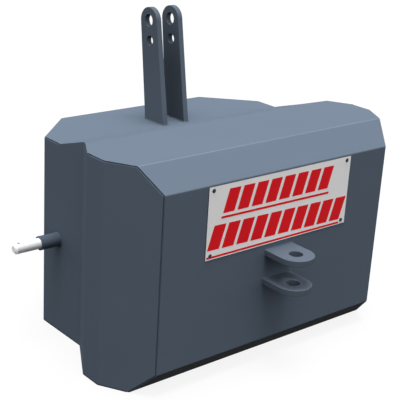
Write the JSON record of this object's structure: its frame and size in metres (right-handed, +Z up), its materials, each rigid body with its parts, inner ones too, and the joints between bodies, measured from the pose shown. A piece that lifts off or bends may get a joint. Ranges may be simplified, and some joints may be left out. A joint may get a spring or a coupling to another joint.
{
  "type": "tractor weight",
  "caption": "Concrete-filled steel ballast box for a tractor's three-point linkage, with lower-link pins, a leaning top-link mast, a tow clevis and a sign plate.",
  "frame": {"origin": "on the base plane, midway between the lower-link pins and straight below their axis", "axes": "+X along the lower-link pins, +Y towards the tractor, +Z up; the front face with the sign looks along -Y"},
  "size_m": [1.302, 0.9485, 1.0685],
  "materials": {
    "painted_steel": "blue-grey semi-gloss paint",
    "bright_steel": "turned and zinc plated",
    "raw_steel": "bare mill scale",
    "concrete": "rough cast concrete",
    "sign_board": "pale grey coated sheet",
    "rivet_steel": "dark painted blind rivets"
  },
  "bodies": {
    "root": {"top_front_sheet": "painted_steel", "side_shell_left": "painted_steel", "side_shell_right": "painted_steel", "base_plate": "painted_steel", "mast_plate_left": "painted_steel", "mast_plate_right": "painted_steel", "pin_collar_left": "painted_steel", "pin_collar_right": "painted_steel", "tow_ear_upper": "painted_steel", "tow_ear_lower": "painted_steel", "lower_pin_left": "bright_steel", "lower_pin_right": "bright_steel", "pin_socket_left": "raw_steel", "pin_socket_right": "raw_steel", "mast_anchor_bar": "raw_steel", "tow_anchor_bar": "raw_steel", "ballast_core": "concrete", "sign_plate": "sign_board", "sign_rivets": "rivet_steel"}
  },
  "joints": []
}
